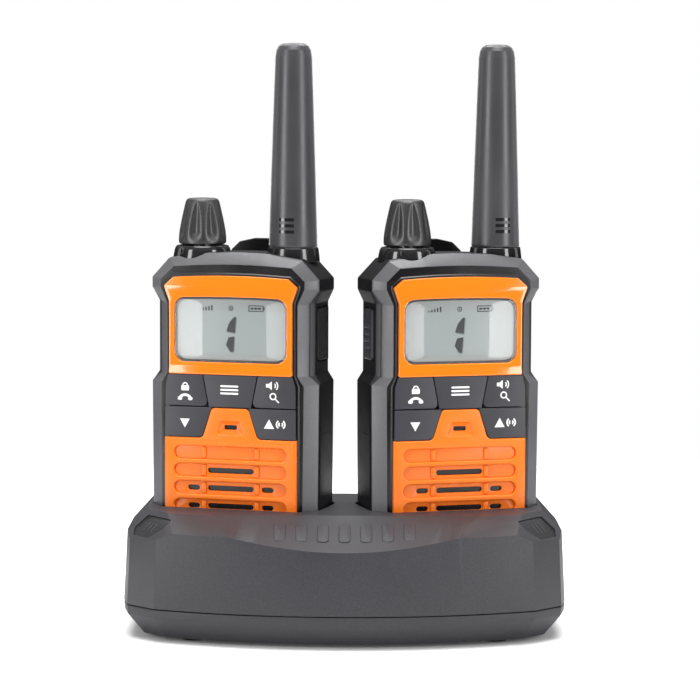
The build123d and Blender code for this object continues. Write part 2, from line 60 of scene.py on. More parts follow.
def plastic(name, col, rough=0.4, grain=0.0, grain_scale=9000.0, spec=0.5, coat=0.0, vary=0.06, painted_edge_highlight=0.0, big=0.0, rvar=0.06, coat_rough=0.06):
    """Moulded plastic: base colour with slight cloudiness, spark-eroded grain as bump, roughness that varies, and a
    painted highlight that lightens convex edges.
    """
    m, nt, b = new_mat(name)
    N, L = nt.nodes, nt.links
    tc = N.new("ShaderNodeTexCoord")
    n1 = N.new("ShaderNodeTexNoise"); n1.inputs["Scale"].default_value = 60.0; n1.inputs["Detail"].default_value = 3.0
    L.new(tc.outputs["Object"], n1.inputs["Vector"])
    r1 = N.new("ShaderNodeMapRange"); r1.inputs["From Min"].default_value = 0.3; r1.inputs["From Max"].default_value = 0.7
    r1.inputs["To Min"].default_value = 1.0 - vary; r1.inputs["To Max"].default_value = 1.0 + vary
    L.new(n1.outputs["Fac"], r1.inputs["Value"])
    mx = N.new("ShaderNodeMix"); mx.data_type = "RGBA"; mx.blend_type = "MULTIPLY"; mx.inputs["Factor"].default_value = 1.0
    mx.inputs["A"].default_value = (*col, 1)
    L.new(r1.outputs["Result"], mx.inputs["B"])
    out = mx.outputs["Result"]
    n2 = N.new("ShaderNodeTexNoise"); n2.inputs["Scale"].default_value = grain_scale; n2.inputs["Detail"].default_value = 2.0
    L.new(tc.outputs["Object"], n2.inputs["Vector"])
    if grain > 0:
        sp = N.new("ShaderNodeMapRange"); sp.inputs["From Min"].default_value = 0.3; sp.inputs["From Max"].default_value = 0.7
        sp.inputs["To Min"].default_value = 1.0 - 0.22 * min(1.0, grain * 3); sp.inputs["To Max"].default_value = 1.0 + 0.22 * min(1.0, grain * 3)
        L.new(n2.outputs["Fac"], sp.inputs["Value"])
        m2 = N.new("ShaderNodeMix"); m2.data_type = "RGBA"; m2.blend_type = "MULTIPLY"; m2.inputs["Factor"].default_value = 1.0
        L.new(out, m2.inputs["A"]); L.new(sp.outputs["Result"], m2.inputs["B"])
        out = m2.outputs["Result"]
        bp = N.new("ShaderNodeBump"); bp.inputs["Strength"].default_value = grain; bp.inputs["Distance"].default_value = 0.00006
        L.new(n2.outputs["Fac"], bp.inputs["Height"]); L.new(bp.outputs["Normal"], b.inputs["Normal"])
    # painted highlight: convex edges, found by pointiness, are mixed towards a paler copy of the base colour
    if painted_edge_highlight > 0:
        ge = N.new("ShaderNodeNewGeometry")
        cr = N.new("ShaderNodeMapRange"); cr.inputs["From Min"].default_value = 0.52; cr.inputs["From Max"].default_value = 0.62
        cr.inputs["To Min"].default_value = 0.0; cr.inputs["To Max"].default_value = painted_edge_highlight
        L.new(ge.outputs["Pointiness"], cr.inputs["Value"])
        m3 = N.new("ShaderNodeMix"); m3.data_type = "RGBA"; m3.blend_type = "MIX"
        L.new(cr.outputs["Result"], m3.inputs["Factor"]); L.new(out, m3.inputs["A"])
        m3.inputs["B"].default_value = (*[min(1, c * 1.8 + 0.03) for c in col], 1)
        out = m3.outputs["Result"]
    L.new(out, b.inputs["Base Color"])
    rr = N.new("ShaderNodeMapRange"); rr.inputs["From Min"].default_value = 0.3; rr.inputs["From Max"].default_value = 0.7
    rr.inputs["To Min"].default_value = max(0.02, rough - rvar); rr.inputs["To Max"].default_value = rough + rvar
    L.new(n1.outputs["Fac"], rr.inputs["Value"]); L.new(rr.outputs["Result"], b.inputs["Roughness"])
    b.inputs["Specular IOR Level"].default_value = spec
    if coat:
        b.inputs["Coat Weight"].default_value = coat; b.inputs["Coat Roughness"].default_value = coat_rough
    return m


def metal(name, col, rough=0.3, scale=(800, 800, 40)):
    m, nt, b = new_mat(name)
    N, L = nt.nodes, nt.links
    tc = N.new("ShaderNodeTexCoord"); mp = N.new("ShaderNodeMapping"); mp.inputs["Scale"].default_value = scale
    n = N.new("ShaderNodeTexNoise"); n.inputs["Scale"].default_value = 6.0; n.inputs["Detail"].default_value = 4.0
    L.new(tc.outputs["Object"], mp.inputs["Vector"]); L.new(mp.outputs["Vector"], n.inputs["Vector"])
    r = N.new("ShaderNodeMapRange"); r.inputs["To Min"].default_value = rough - 0.1; r.inputs["To Max"].default_value = rough + 0.12
    L.new(n.outputs["Fac"], r.inputs["Value"]); L.new(r.outputs["Result"], b.inputs["Roughness"])
    c = N.new("ShaderNodeMix"); c.data_type = "RGBA"; c.inputs["A"].default_value = (*[x * 0.85 for x in col], 1); c.inputs["B"].default_value = (*col, 1)
    L.new(n.outputs["Fac"], c.inputs["Factor"]); L.new(c.outputs["Result"], b.inputs["Base Color"])
    b.inputs["Metallic"].default_value = 1.0
    return m


MAT = {
    "rim": plastic("rim_grey", (0.084, 0.084, 0.090), 0.36, grain=0.35, grain_scale=5200, spec=0.5, painted_edge_highlight=0.15),
    "black": plastic("shell_black", (0.007, 0.007, 0.008), 0.44, grain=0.22, grain_scale=3000, spec=0.22, painted_edge_highlight=0.1),
    "groove": plastic("groove_black", (0.007, 0.007, 0.008), 0.24, grain=0.05, spec=0.45),
    "gloss_black": plastic("gloss_black", (0.010, 0.010, 0.011), 0.16, spec=0.55, coat=0.35, painted_edge_highlight=0.08),
    "orange_gloss": plastic("orange_gloss", (0.90, 0.205, 0.010), 0.10, spec=0.5, coat=0.7, vary=0.02, rvar=0.03, coat_rough=0.04),
    "orange": plastic("orange_satin", (0.88, 0.180, 0.007), 0.26, grain=0.04, grain_scale=4000, spec=0.42, vary=0.02, rvar=0.03),
    "key": plastic("key_rubber", (0.034, 0.033, 0.040), 0.46, grain=0.12, grain_scale=7000, spec=0.4),
    "antenna": plastic("antenna_rubber", (0.046, 0.046, 0.050), 0.34, grain=0.10, grain_scale=7000, spec=0.5),
    "cradle": plastic("cradle_plastic", (0.029, 0.028, 0.033), 0.50, grain=0.45, grain_scale=2300, spec=0.42, painted_edge_highlight=0.2),
    "dark_insert": plastic("indicator_dark", (0.020, 0.020, 0.022), 0.25, spec=0.5, grain=0.05),
    "rubber": plastic("rubber_black", (0.012, 0.012, 0.012), 0.6, grain=0.3, grain_scale=6000, spec=0.3),
    # darker copy of the rim grey: painted shade for faces turned sideways
    "rim_shade_side": plastic("rim_grey_painted_shade", (0.026, 0.026, 0.028), 0.42, grain=0.35, grain_scale=3000, spec=0.35, painted_edge_highlight=0.1),
    "knob": plastic("knob_black", (0.012, 0.012, 0.013), 0.42, spec=0.9, grain=0.04, painted_edge_highlight=0.08),
    "steel": metal("screw_steel", (0.55, 0.55, 0.57)),
    "gold": metal("contact_gold", (0.85, 0.62, 0.27), 0.25),
    "white": plastic("legend_white", (0.82, 0.82, 0.82), 0.5, vary=0.03),
    "ink": plastic("bezel_ink", (0.035, 0.012, 0.008), 0.3, vary=0.03),
    "lcd": None, "seg": plastic("lcd_segment", (0.012, 0.014, 0.014), 0.5, vary=0.02),
    "seg_soft": plastic("lcd_shadow", (0.24, 0.275, 0.275), 0.5, vary=0.02),
    "board": plastic("board_green", (0.02, 0.12, 0.05), 0.3, coat=0.3),
    "cell": plastic("cell_sleeve", (0.05, 0.10, 0.28), 0.3, coat=0.3),
}
# display: reflective grey-green with soft cloudy tone variation
m, nt, b = new_mat("display_grey")
tc = nt.nodes.new("ShaderNodeTexCoord"); nz = nt.nodes.new("ShaderNodeTexNoise"); nz.inputs["Scale"].default_value = 25
nt.links.new(tc.outputs["Object"], nz.inputs["Vector"])
mx = nt.nodes.new("ShaderNodeMix"); mx.data_type = "RGBA"
mx.inputs["A"].default_value = (0.36, 0.405, 0.405, 1); mx.inputs["B"].default_value = (0.40, 0.445, 0.44, 1)
nt.links.new(nz.outputs["Fac"], mx.inputs["Factor"]); nt.links.new(mx.outputs["Result"], b.inputs["Base Color"])
b.inputs["Roughness"].default_value = 0.35
MAT["lcd"] = m
# clear window: thin sheet, mostly see-through, with a hard gloss
m, nt, b = new_mat("window_clear")
tc = nt.nodes.new("ShaderNodeTexCoord"); nz = nt.nodes.new("ShaderNodeTexNoise"); nz.inputs["Scale"].default_value = 40
nt.links.new(tc.outputs["Object"], nz.inputs["Vector"])
rr = nt.nodes.new("ShaderNodeMapRange"); rr.inputs["To Min"].default_value = 0.02; rr.inputs["To Max"].default_value = 0.05
nt.links.new(nz.outputs["Fac"], rr.inputs["Value"]); nt.links.new(rr.outputs["Result"], b.inputs["Roughness"])
b.inputs["Base Color"].default_value = (0.20, 0.22, 0.22, 1)
b.inputs["Alpha"].default_value = 0.12
b.inputs["IOR"].default_value = 3.0
b.inputs["Specular IOR Level"].default_value = 0.5
MAT["window"] = m
# soft-touch rubber on the antenna has a faint sheen at grazing angles
for k_, w_, r_ in (("antenna", 1.0, 0.28),):
    b_ = MAT[k_].node_tree.nodes["Principled BSDF"]
    b_.inputs["Sheen Weight"].default_value = w_; b_.inputs["Sheen Roughness"].default_value = r_

# ------------------------------------------------------------------ mesh helpers


def finish_piece(me, name, mats, body, mtx, replaces=(), smooth=30.0):
    me.transform(mtx)
    ob = bpy.data.objects.new(name, me)
    bpy.context.scene.collection.objects.link(ob)
    if mats is not None:
        idx = [p.material_index for p in me.polygons]
        me.materials.clear()
        for k in (mats if isinstance(mats, (list, tuple)) else [mats]):
            me.materials.append(MAT[k])
        for p, i in zip(me.polygons, idx):
            p.material_index = i
    for p in me.polygons:
        p.use_smooth = True
    me.set_sharp_from_angle(angle=radians(smooth))
    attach(ob, body)
    if replaces:
        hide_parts(*replaces)
    return ob


def me_from(verts, faces, mat_idx=None, name="m"):
    me = bpy.data.meshes.new(name)
    me.from_pydata([tuple(v) for v in verts], [], faces)
    if mat_idx:
        for p, i in zip(me.polygons, mat_idx):
            p.material_index = i
    bm = bmesh.new(); bm.from_mesh(me)
    bmesh.ops.recalc_face_normals(bm, faces=bm.faces)
    bm.to_mesh(me); bm.free()
    return me


def evaluate(me, mods):
    """Apply modifiers, given as functions that set them up on a temporary object, and return a new mesh."""
    ob = bpy.data.objects.new("tmp_eval", me)
    bpy.context.scene.collection.objects.link(ob)
    for f in mods:
        f(ob)
    dg = bpy.context.evaluated_depsgraph_get()
    out = bpy.data.meshes.new_from_object(ob.evaluated_get(dg))
    bpy.data.objects.remove(ob)
    return out


def bevel(width, seg=3, angle=25.0):
    def f(ob):
        md = ob.modifiers.new("b", "BEVEL"); md.width = width; md.segments = seg
        md.limit_method = "ANGLE"; md.angle_limit = radians(angle); md.harden_normals = False; md.use_clamp_overlap = True
    return f


def boolean(cutter_me, op="DIFFERENCE"):
    def f(ob):
        c = bpy.data.objects.new("tmp_cut", cutter_me)
        bpy.context.scene.collection.objects.link(c)
        c.hide_render = True
        md = ob.modifiers.new("x", "BOOLEAN"); md.operation = op; md.object = c; md.solver = "EXACT"
        TMP.append(c)
    return f


TMP = []


def clear_tmp():
    for c in TMP:
        bpy.data.objects.remove(c)
    TMP.clear()


def roundpoly(pts, r, seg=5):
    """Outline with each corner replaced by an arc; r is one radius or one per corner."""
    n = len(pts); out = []
    for i in range(n):
        p0, p, p1 = Vector(pts[i - 1]), Vector(pts[i]), Vector(pts[(i + 1) % n])
        ri = r[i] if isinstance(r, (list, tuple)) else r
        a, b2 = (p0 - p), (p1 - p)
        la, lb = a.length, b2.length
        a.normalize(); b2.normalize()
        ang = a.angle(b2)
        if ri <= 0 or ang > pi - 0.03:
            out.append((p.x, p.y)); continue
        t = min(ri / max(1e-6, (sin(ang / 2) / cos(ang / 2))), 0.48 * la, 0.48 * lb)
        rr2 = t * (sin(ang / 2) / cos(ang / 2))
        bis = (a + b2).normalized()
        c = p + bis * (rr2 / sin(ang / 2))
        s, e = p + a * t, p + b2 * t
        a0 = atan2(s.y - c.y, s.x - c.x); a1 = atan2(e.y - c.y, e.x - c.x)
        d = a1 - a0
        while d > pi: d -= 2 * pi
        while d < -pi: d += 2 * pi
        for k in range(seg + 1):
            th = a0 + d * k / seg
            out.append((c.x + rr2 * cos(th), c.y + rr2 * sin(th)))
    return out


def stadium(x0, x1, z, h, seg=8):
    r = h / 2
    pts = []
    for k in range(seg + 1):
        a = -pi / 2 + pi * k / seg
        pts.append((x1 - r + r * cos(a), z + r * sin(a)))
    for k in range(seg + 1):
        a = pi / 2 + pi * k / seg
        pts.append((x0 + r + r * cos(a), z + r * sin(a)))
    return pts


def plate(loops, y0, y1, bev=0.25, res=3, both=False):
    """Plate with holes: flat outlines (x, z) filled even-odd, rounded edges, from depth y0 (front) to y1."""
    cu = bpy.data.curves.new("c", "CURVE")
    cu.dimensions = "2D"; cu.fill_mode = "BOTH"
    for lp in loops:
        sp = cu.splines.new("POLY"); sp.points.add(len(lp) - 1)
        for p, (x, z) in zip(sp.points, lp):
            p.co = (x, z, 0, 1)
        sp.use_cyclic_u = True
    th = (y1 - y0) / 2
    bv = min(bev, th * 0.98)
    cu.extrude = th - bv; cu.bevel_depth = bv; cu.bevel_resolution = res; cu.offset = -bv
    ob = bpy.data.objects.new("tmp_c", cu)
    bpy.context.scene.collection.objects.link(ob)
    dg = bpy.context.evaluated_depsgraph_get()
    me = bpy.data.meshes.new_from_object(ob.evaluated_get(dg))
    bpy.data.objects.remove(ob)
    # curve frame (x, z, depth) -> (x, y, z)
    mid = (y0 + y1) / 2
    me.transform(Matrix(((1, 0, 0, 0), (0, 0, -1, mid), (0, 1, 0, 0), (0, 0, 0, 1))))
    bm = bmesh.new(); bm.from_mesh(me)
    bmesh.ops.remove_doubles(bm, verts=bm.verts, dist=0.002)
    bmesh.ops.dissolve_degenerate(bm, dist=0.0005, edges=bm.edges)
    bmesh.ops.recalc_face_normals(bm, faces=bm.faces)
    bm.to_mesh(me); bm.free()
    return me


def join(meshes, name="j"):
    bm = bmesh.new()
    for i, e in enumerate(meshes):
        me, idx = e if isinstance(e, tuple) else (e, None)
        n0 = len(bm.faces)
        bm.from_mesh(me)
        if idx is not None:
            bm.faces.ensure_lookup_table()
            for f in bm.faces[n0:]:
                f.material_index = idx
    me = bpy.data.meshes.new(name); bm.to_mesh(me); bm.free()
    return me


def rings_mesh(rings, cap0=True, cap1=True, mats=None, close=True, capmat=(0, 0)):
    n = len(rings[0]); verts = [p for r in rings for p in r]; faces = []; mi = []
    for k in range(len(rings) - 1):
        for i in range(n if close else n - 1):
            j = (i + 1) % n
            faces.append((k * n + i, k * n + j, (k + 1) * n + j, (k + 1) * n + i))
            mi.append(mats(k, i) if mats else 0)
    if cap0:
        faces.append(tuple(range(n))[::-1]); mi.append(capmat[0])
    if cap1:
        faces.append(tuple((len(rings) - 1) * n + i for i in range(n))); mi.append(capmat[1])
    return me_from(verts, faces, mi)


def lathe(prof, seg=96, cx=0, cy=0):
    """Closed turned shape about the z axis; prof is (r, z) from the bottom axis point to the top axis point."""
    verts = []; faces = []
    body = prof[1:-1]
    for r, z in body:
        for k in range(seg):
            a = 2 * pi * k / seg
            verts.append((cx + r * cos(a), cy + r * sin(a), z))
    for i in range(len(body) - 1):
        for k in range(seg):
            j = (k + 1) % seg
            faces.append((i * seg + k, i * seg + j, (i + 1) * seg + j, (i + 1) * seg + k))
    b0 = len(verts); verts.append((cx, cy, prof[0][1])); b1 = len(verts); verts.append((cx, cy, prof[-1][1]))
    for k in range(seg):
        j = (k + 1) % seg
        faces.append((b0, j, k)); faces.append((b1, (len(body) - 1) * seg + k, (len(body) - 1) * seg + j))
    return me_from(verts, faces)


def soften(prof, r=0.3, seg=4):
    """Round the corners of a lathe profile, keeping its end points."""
    out = [prof[0]]
    for i in range(1, len(prof) - 1):
        p0, p, p1 = Vector(prof[i - 1]), Vector(prof[i]), Vector(prof[i + 1])
        a, b2 = p0 - p, p1 - p
        la, lb = a.length, b2.length
        if la < 1e-6 or lb < 1e-6:
            out.append(prof[i]); continue
        ang = a.angle(b2)
        if ang > pi - 0.08:
            out.append(prof[i]); continue
        t = min(r, 0.45 * la, 0.45 * lb)
        a.normalize(); b2.normalize()
        for k in range(seg + 1):
            u = k / seg
            q = (p + a * t) * (1 - u) ** 2 + p * 2 * u * (1 - u) + (p + b2 * t) * u ** 2
            out.append((q.x, q.y))
    out.append(prof[-1])
    return out


def boxm(x0, x1, y0, y1, z0, z1, bev=0.0, seg=3):
    v = [(x, y, z) for x in (x0, x1) for y in (y0, y1) for z in (z0, z1)]
    f = [(0, 1, 3, 2), (4, 6, 7, 5), (0, 4, 5, 1), (2, 3, 7, 6), (0, 2, 6, 4), (1, 5, 7, 3)]
    me = me_from(v, f)
    return evaluate(me, [bevel(bev, seg)]) if bev else me


def tube_x(x0, x1, y, z, r, seg=48, bev=0.2):
    pr = soften([(0, x0), (r, x0), (r, x1), (0, x1)], bev)
    me = lathe(pr, seg)
    me.transform(Matrix(((0, 0, 1, 0), (1, 0, 0, y), (0, 1, 0, z), (0, 0, 0, 1))))
    return me


def text_mesh(s, size, cx, cz, y, depth=0.06, bold=0.0, sx=1.0):
    cu = bpy.data.curves.new("t", "FONT")
    cu.body = s; cu.size = size; cu.align_x = "CENTER"; cu.align_y = "CENTER"; cu.extrude = depth / 2; cu.offset = bold; cu.resolution_u = 4
    ob = bpy.data.objects.new("tmp_t", cu)
    bpy.context.scene.collection.objects.link(ob)
    dg = bpy.context.evaluated_depsgraph_get()
    me = bpy.data.meshes.new_from_object(ob.evaluated_get(dg))
    bpy.data.objects.remove(ob)
    me.transform(Matrix(((sx, 0, 0, cx), (0, 0, -1, y), (0, 1, 0, cz), (0, 0, 0, 1))))
    return me


# ------------------------------------------------------------------ handset outlines
OUTER = [(27.0, 0.0), (28.8, 2.2), (29.3, 66.8), (27.3, WLO), (27.3, WHI), (29.3, 97.4), (29.3, 101.3), (23.0, 107.9), (12.0, 109.5)]
OUTER_P = [(26.9, 0.0), (28.7, 2.2), (29.2, 66.6), (25.9, 69.4), (25.9, WHI), (29.2, 97.8), (29.2, 101.3), (23.1, 107.8), (12.0, 109.5)]
OUTER_A = [(26.0, 0.6), (27.8, 2.6), (28.4, 66.4), (25.3, 69.2), (25.3, WHI), (28.5, 98.2), (28.6, 101.1), (23.2, 107.3), (12.0, 109.3)]
RIM = [(23.4, 3.0), (24.4, 5.0), (24.9, 66.2), (22.7, 69.4), (22.7, 92.9), (25.1, 98.2), (25.1, 100.8), (20.5, 105.2), (12.0, 105.7)]
REAR = [(21.5, 3.2), (23.6, 5.4), (24.0, 67.0), (23.4, WLO), (23.4, WHI), (24.0, 97.0), (24.0, 98.6), (19.2, 103.2), (10.0, 104.0)]
PED_F = [(22.7, 17.5), (23.1, 19.8), (23.1, 66.0), (21.7, 69.6), (21.6, 93.4), (23.3, 98.4), (23.2, 99.4), (20.1, 102.0), (10.0, 102.6)]
PED_B = [(23.0, 17.2), (23.5, 19.6), (23.5, 66.1), (22.0, 69.7), (21.9, 93.3), (23.7, 98.3), (23.6, 99.6), (20.3, 102.4), (10.0, 103.0)]
SIDE = [(x - 0.35, z - (0.2 if z > 100 else 0)) for x, z in OUTER]


def sym(half):
    return list(half) + [(-x, z) for x, z in reversed(half)]


def ring(half, y, top_y=None):
    return [(x, y, z) for x, z in sym(half)]


def arch(half, n=4, rise=0.35):
    """Fine points across the top edge, bowed up a little."""
    x1, z1 = half[-1]
    return list(half) + [(x1 * (1 - k / n), z1 + rise * (1 - (1 - k / n) ** 2)) for k in range(1, n + 1)]


def symc(half):
    """Like sym, where the last point lies on the centre line."""
    return list(half) + [(-x, z) for x, z in reversed(half[:-1])]


def ringc(half, y):
    return [(x, y, z) for x, z in symc(half)]


def insetp(half, d):
    return [(x - d if x > d else x, (z + d if z < 20 else (z - d if z > 98 else z))) for x, z in half]


for side in ("left", "right"):
    T = M(side)
    HB = side + "_handset"
    P = side + "_"

    # ---- front rim: black centre plate, black land and the light chamfer
    gF, gB, rR, rA, rP = (arch(h, 4, v) for h, v in ((PED_F, 0.2), (PED_B, 0.2), (RIM, 0.3), (OUTER_A, 0.4), (OUTER_P, 0.4)))
    inn, inm = insetp(rP, 2.2), insetp(rR, 2.0)
    rings = [ringc(gF, 2.2), ringc(gB, 2.75), ringc(rR, 2.6), ringc(rA, 5.4), ringc(rP, 6.15), ringc(inn, 6.15), ringc(inm, 4.1)]
    me = rings_mesh(rings, mats=lambda k, i: 0 if k in (2, 3) else 1, capmat=(1, 1))
    me = evaluate(me, [bevel(0.2, 3, 18)])
    holes_ = [lathe([(0, 105.9), (10.1, 105.9), (10.1, 118), (0, 118)], 64, -14.4, 14.6)]
    holes_ += [boxm(hx - 3.5, hx + 3.5, 1.4, 5.2, hz - 2.5, hz + 2.5) for hx, hz in ((-15.9, 64.6), (0.0, 64.6), (15.9, 64.6), (-14.8, 54.2), (14.8, 54.2))]
    me = evaluate(me, [boolean(h_) for h_ in holes_]); clear_tmp()
    # painted shade: rim faces that face sideways take the darker copy of the rim grey
    for pg in me.polygons:
        if pg.material_index == 0 and abs(pg.normal.x) > 0.86:
            pg.material_index = 2
    finish_piece(me, P + "rim", ["rim", "groove", "rim_shade_side"], HB, T, [P + "front_shell"], 35)

    # ---- rear shell: closed body with cut-outs; the slanted waist faces take the darker copy of the rim grey as painted shade
    o0 = arch(OUTER_P, 4, 0.4); o1 = arch(OUTER, 4, 0.4); s1 = arch(SIDE); r1 = arch(REAR)
    zz_ = [q[1] for q in symc(o0)]
    n_half = len(zz_)

    # painted shade: waist faces on the front band get slot 1, the darker copy of the rim grey
    def rm(k, i):
        lo, hi = sorted((zz_[i], zz_[(i + 1) % n_half]))
        return 1 if k == 0 and lo > 60 and hi < 99 and hi - lo < 30 else 0
    rings = [ringc(o0, 6.3), ringc(o1, 8.0), ringc(s1, 23.6), ringc(r1, 33.0)]
    me = rings_mesh(rings, mats=rm)
    me = evaluate(me, [bevel(0.3, 3, 16)])
    cuts = [boxm(-20.2, 20.2, 31.4, 35, 8.8, 61.2), boxm(-18.8, 18.8, 15.0, 32, 10.2, 59.8),
            boxm(-31, -23.6, 10.0, 20.4, 74.0, 91.6), boxm(25.2, 31, 10.4, 23.2, 73.6, 92.0)]
    for sx, sz in ((-21.0, 90.0), (21.0, 90.0), (-21.6, 66.4), (21.6, 66.4)):
        c = lathe([(0, 30.8), (1.7, 30.8), (1.7, 36), (0, 36)], 24)
        c.transform(Matrix(((1, 0, 0, sx), (0, 0, 1, 0), (0, -1, 0, sz), (0, 0, 0, 1))))
        cuts.append(c)
    for zz, rr3 in ((77.6, 1.8), (84.2, 1.3)):
        c = lathe([(0, 19.5), (rr3, 19.5), (rr3, 27), (0, 27)], 32)
        c.transform(Matrix(((0, 0, 1, 0), (1, 0, 0, 15.4), (0, 1, 0, zz), (0, 0, 0, 1))))
        cuts.append(c)
    for cx in (-6.0, 6.0):
        cuts.append(lathe([(0, -1), (2.3, -1), (2.3, 1.2), (0, 1.2)], 32, cx, 14.0))
    # fine seam round the sides
    for sg in (-1, 1):
        x0, x1 = sorted((sg * 28.85, sg * 30))
        cuts.append(boxm(x0, x1, 8.6, 23.4, 49.7, 50.1))
    cuts.append(lathe([(0, 104), (3.3, 104), (3.3, 111), (0, 111)], 32, -14.4, 14.6))
    me = evaluate(me, [boolean(c) for c in cuts]); clear_tmp()
    parts = [me]
    # collar of the knob and seat of the antenna, glossy
    colm = lathe(soften([(0, 106.4), (9.95, 106.4), (9.7, 108.4), (9.25, 110.5), (8.7, 111.55), (7.6, 111.8), (0, 111.8)], 0.35), 96, -14.4, 14.6)
    colm = evaluate(colm, [boolean(lathe([(0, 104), (3.3, 104), (3.3, 116), (0, 116)], 32, -14.4, 14.6)), boolean(boxm(-19.2, -18.3, 3.6, 6.9, 109.2, 111.0, 0.2))]); clear_tmp()
    seat = lathe(soften([(0, 106.6), (8.9, 106.6), (8.7, 108.8), (8.35, 111.35), (0, 111.35)], 0.3), 96, 17.0, 16.0)
    # ears of the clip
    ears = []
    for sg in (-1, 1):
        x0, x1 = sorted((sg * 6.4, sg * 9.2))
        ears.append(boxm(x0, x1, 32.4, 37.6, 95.8, 102.2, 0.25))
        ears.append(tube_x(x0, x1, 37.6, 99.0, 3.2))
    jj = join([(me, None)] + [(e, 0) for e in ears] + [(colm, 2), (seat, 2)])
    finish_piece(jj, P + "shell", ["black", "rim_shade_side", "gloss_black"], HB, T, [P + "rear_shell"], 32)

    # ---- orange upper faceplate
    lens = [(21.5, 69.5), (21.3, 72.0), (21.3, 93.5), (23.0, 98.3), (23.0, 98.9), (19.9, 101.6)]
    top = [(19.9 * (1 - k / 6), 101.6 + 0.75 * (1 - (1 - k / 6) ** 2)) for k in range(1, 7)]
    outl = roundpoly(lens + top + [(-x, z) for x, z in reversed(lens + top[:-1])], 0.6, 4)
    win = [(-19.55, 73.65), (19.55, 73.65), (19.55, 94.9), (10, 95.2), (0, 95.3), (-10, 95.2), (-19.55, 94.9)]
    win = roundpoly(win, [3.6, 3.6, 3.6, 0, 0, 0, 3.6], 8)
    me = plate([outl, win], 0.3, 2.15, 0.32, 4)
    finish_piece(me, P + "faceplate", "orange_gloss", HB, T, [P + "display_bezel"])
    # ---- window, display and its marks
    def scaled(lp, d):
        return [(x - d * (1 if x > 0 else -1 if x < 0 else 0), z - d * (1 if z > 85 else -1)) for x, z in lp]
    me = plate([scaled(win, 0.14)], 0.62, 1.7, 0.12, 2)
    finish_piece(me, P + "window", "window", HB, T, [P + "display_window"])
    frame_dark = plate([scaled(win, 0.05), scaled(win, 0.75)], 1.75, 2.0, 0.05, 1)
    lcdp = plate([scaled(win, 0.2)], 1.95, 3.4, 0.05, 1)
    me = join([(lcdp, 0), (frame_dark, 1)])
    finish_piece(me, P + "display", ["lcd", "seg"], HB, T, [P + "lcd_module"])
    segs = []

    def seg(x0, x1, z0, z1, cut=0.35):
        return plate([[(x0, z0 + cut), (x0, z1 - cut), (x0 + cut, z1), (x1 - cut, z1), (x1, z1 - cut), (x1, z0 + cut), (x1 - cut, z0), (x0 + cut, z0)]], 1.86, 1.94, 0.01, 0)
    sx0 = 0.1
    # figure one, as two slanted strokes
    one = [[(-0.75, 86.7), (0.95, 88.7), (1.75, 88.8), (1.3, 83.4), (-1.7, 83.9)], [(-0.95, 81.9), (1.2, 82.3), (0.8, 77.2), (-0.3, 77.1), (-1.8, 79.4)]]
    for o in one:
        segs.append((plate([o], 1.86, 1.94, 0.01, 0), 0))
        segs.append((plate([[(x + 0.35, z - 0.4) for x, z in o]], 1.92, 1.948, 0.005, 0), 1))
    # small generic marks along the top: level bars, a ring and a cell outline
    for k, xx in enumerate((-11.0, -10.0, -9.0, -8.0, -7.0)):
        segs.append((plate([[(xx, 90.7), (xx + 0.5, 90.7), (xx + 0.5, 91.2 + 0.32 * k), (xx, 91.2 + 0.32 * k)]], 1.88, 1.94, 0.01, 0), 0))
    segs.append((plate([stadium(-0.95, 0.75, 91.6, 1.7), stadium(-0.65, 0.45, 91.6, 1.1)], 1.88, 1.94, 0.01, 0), 0))
    segs.append((plate([stadium(-0.35, 0.15, 91.6, 0.5)], 1.88, 1.94, 0.01, 0), 0))
    segs.append((plate([[(6.0, 90.6), (11.2, 90.6), (11.2, 92.7), (6.0, 92.7)], [(6.3, 90.9), (10.9, 90.9), (10.9, 92.4), (6.3, 92.4)]], 1.88, 1.94, 0.01, 0), 0))
    segs.append((plate([[(11.25, 91.2), (11.65, 91.2), (11.65, 92.1), (11.25, 92.1)]], 1.88, 1.94, 0.01, 0), 0))
    for k in range(3):
        segs.append((plate([[(6.75 + 1.3 * k, 91.3), (7.75 + 1.3 * k, 91.3), (7.75 + 1.3 * k, 92.0), (6.75 + 1.3 * k, 92.0)]], 1.88, 1.94, 0.01, 0), 0))
    finish_piece(join(segs), P + "display_marks", ["seg", "seg_soft"], HB, T)

    # ---- orange lower faceplate
    gp = [(22.4, 17.9), (22.9, 20.0), (22.9, 48.4), (9.6, 48.4), (6.4, 58.45)]
    rad = [0.6, 1.0, 0.4, 1.9, 1.5]
    outl = roundpoly(sym(gp), rad + rad[::-1], 6)
    rows = (43.4, 37.5, 31.6, 25.6)
    micr = roundpoly([(-4.4, 49.8), (4.4, 49.8), (3.1, 54.0), (-3.1, 54.0)], 0.5, 4)
    top_pl = plate([outl, micr] + [stadium(-19.5, 19.5, z, 4.3, 10) for z in rows], 0.3, 1.45, 0.95, 6)
    bars = []
    for z in rows:
        for sg in (-1, 1):
            bars.append((boxm(sg * 9.2 - 0.8, sg * 9.2 + 0.8, 0.62, 1.6, z - 1.9, z + 1.9, 0.6, 4), 0))
    holes = [roundpoly([(-2.2, 51.3), (2.2, 51.3), (2.2, 52.8), (-2.2, 52.8)], 0.5, 4)]
    for i, z in enumerate(rows):
        if i >= 1: holes.append(stadium(-8.0, 8.0, z, 1.75))
        if i >= 2:
            holes.append(stadium(-14.9, -10.8, z, 1.7)); holes.append(stadium(10.8, 14.9, z, 1.7))
    low = plate([outl] + holes, 1.35, 2.15, 0.12, 2)
